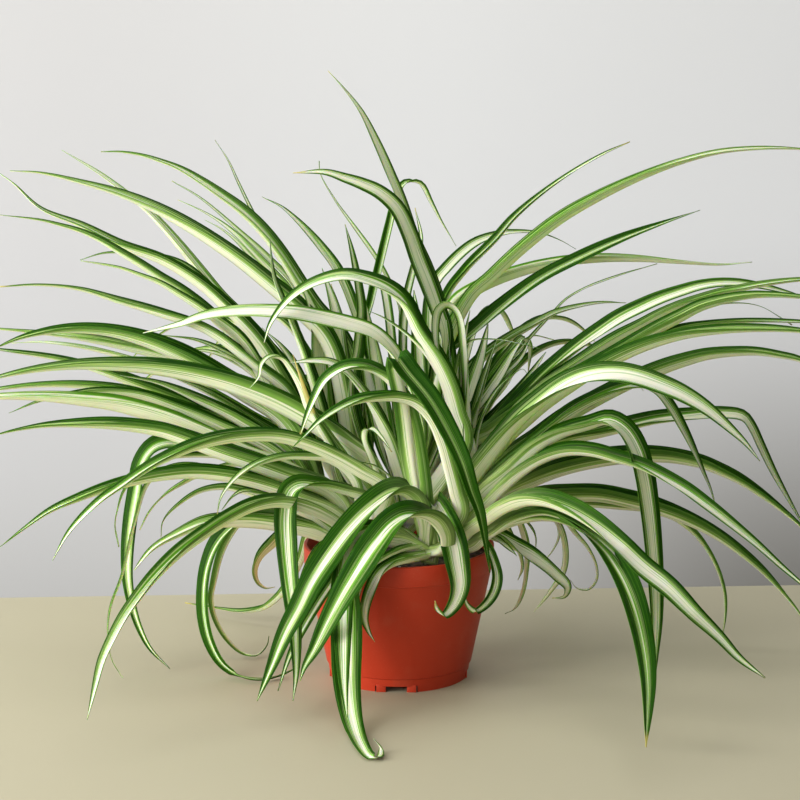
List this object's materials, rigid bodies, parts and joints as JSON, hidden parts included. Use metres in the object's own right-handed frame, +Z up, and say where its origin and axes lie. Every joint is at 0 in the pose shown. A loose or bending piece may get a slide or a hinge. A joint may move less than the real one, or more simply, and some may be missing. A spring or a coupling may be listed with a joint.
{
  "type": "potted spider plant",
  "caption": "Spider plant with long, arching, folded leaves that spray out of a plain tapered nursery pot filled with soil and hang past its rim.",
  "frame": {"origin": "middle of the pot's underside, on the flat foot in its centre", "axes": "+Z up along the pot's axis, +X to the right and along the longest spread of leaves, -Y towards the front"},
  "size_m": [0.726, 0.5745, 0.4774],
  "materials": {
    "pot": "satin moulded polypropylene",
    "soil": "rough crumbly potting mix",
    "foliage": "smooth waxy leaf, green with a cream middle band"
  },
  "bodies": {
    "root": {"pot": "pot", "soil": "soil", "crown_back_left": "foliage", "crown_left_back": "foliage", "crown_left": "foliage", "crown_front_left": "foliage", "crown_front": "foliage", "crown_centre": "foliage", "crown_back": "foliage", "crown_back_right": "foliage", "crown_right_back": "foliage", "crown_right": "foliage", "crown_front_right": "foliage"}
  },
  "joints": []
}
